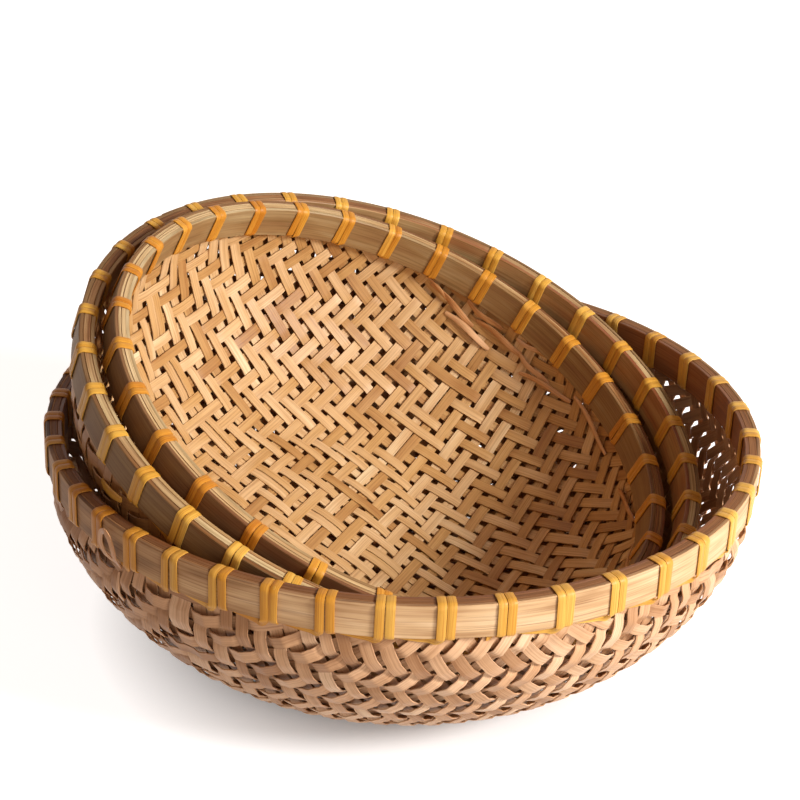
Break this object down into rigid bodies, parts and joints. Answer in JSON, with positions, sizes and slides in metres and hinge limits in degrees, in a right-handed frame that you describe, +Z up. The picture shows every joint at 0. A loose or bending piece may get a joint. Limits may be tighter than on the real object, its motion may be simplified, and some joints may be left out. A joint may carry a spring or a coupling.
{
  "type": "nested bamboo basket set",
  "caption": "Round shallow bowl baskets of twilled split bamboo with hooped, strip-lashed rims, lying tipped one in another as a nest.",
  "frame": {"origin": "centre of the largest basket's underside, where it stands", "axes": "+Z up along the largest basket's axis. The nest is seen in the picture from -Y, with +X to the right"},
  "size_m": [0.3018, 0.3018, 0.1621],
  "materials": {
    "woven_bamboo": "bare split bamboo strip, satin, honey coloured",
    "hoop_bamboo": "bare bamboo slat, smooth skin with fine grain",
    "splint_bamboo": "bare bamboo splint, matt",
    "dyed_strip": "bamboo skin strip dyed yellow, semi-gloss"
  },
  "bodies": {
    "large": {"large_woven_bowl": "woven_bamboo", "large_outer_hoop": "hoop_bamboo", "large_inner_hoop": "hoop_bamboo", "large_cap_splint": "splint_bamboo", "large_lashing_1": "dyed_strip", "large_lashing_2": "dyed_strip", "large_lashing_3": "dyed_strip", "large_lashing_4": "dyed_strip"},
    "medium": {"medium_woven_bowl": "woven_bamboo", "medium_outer_hoop": "hoop_bamboo", "medium_inner_hoop": "hoop_bamboo", "medium_cap_splint": "splint_bamboo", "medium_lashing_1": "dyed_strip", "medium_lashing_2": "dyed_strip", "medium_lashing_3": "dyed_strip"},
    "small": {"small_woven_bowl": "woven_bamboo", "small_outer_hoop": "hoop_bamboo", "small_inner_hoop": "hoop_bamboo", "small_cap_splint": "splint_bamboo", "small_lashing_1": "dyed_strip", "small_lashing_2": "dyed_strip", "small_lashing_3": "dyed_strip"}
  },
  "joints": [
    {"name": "medium_lift", "type": "slide", "parent": "large", "child": "medium", "axis": [0, 0, 1], "range_m": [0, 0.15]},
    {"name": "small_lift", "type": "slide", "parent": "medium", "child": "small", "axis": [0.2879, -0.1906, 0.9385], "range_m": [0, 0.13]}
  ]
}
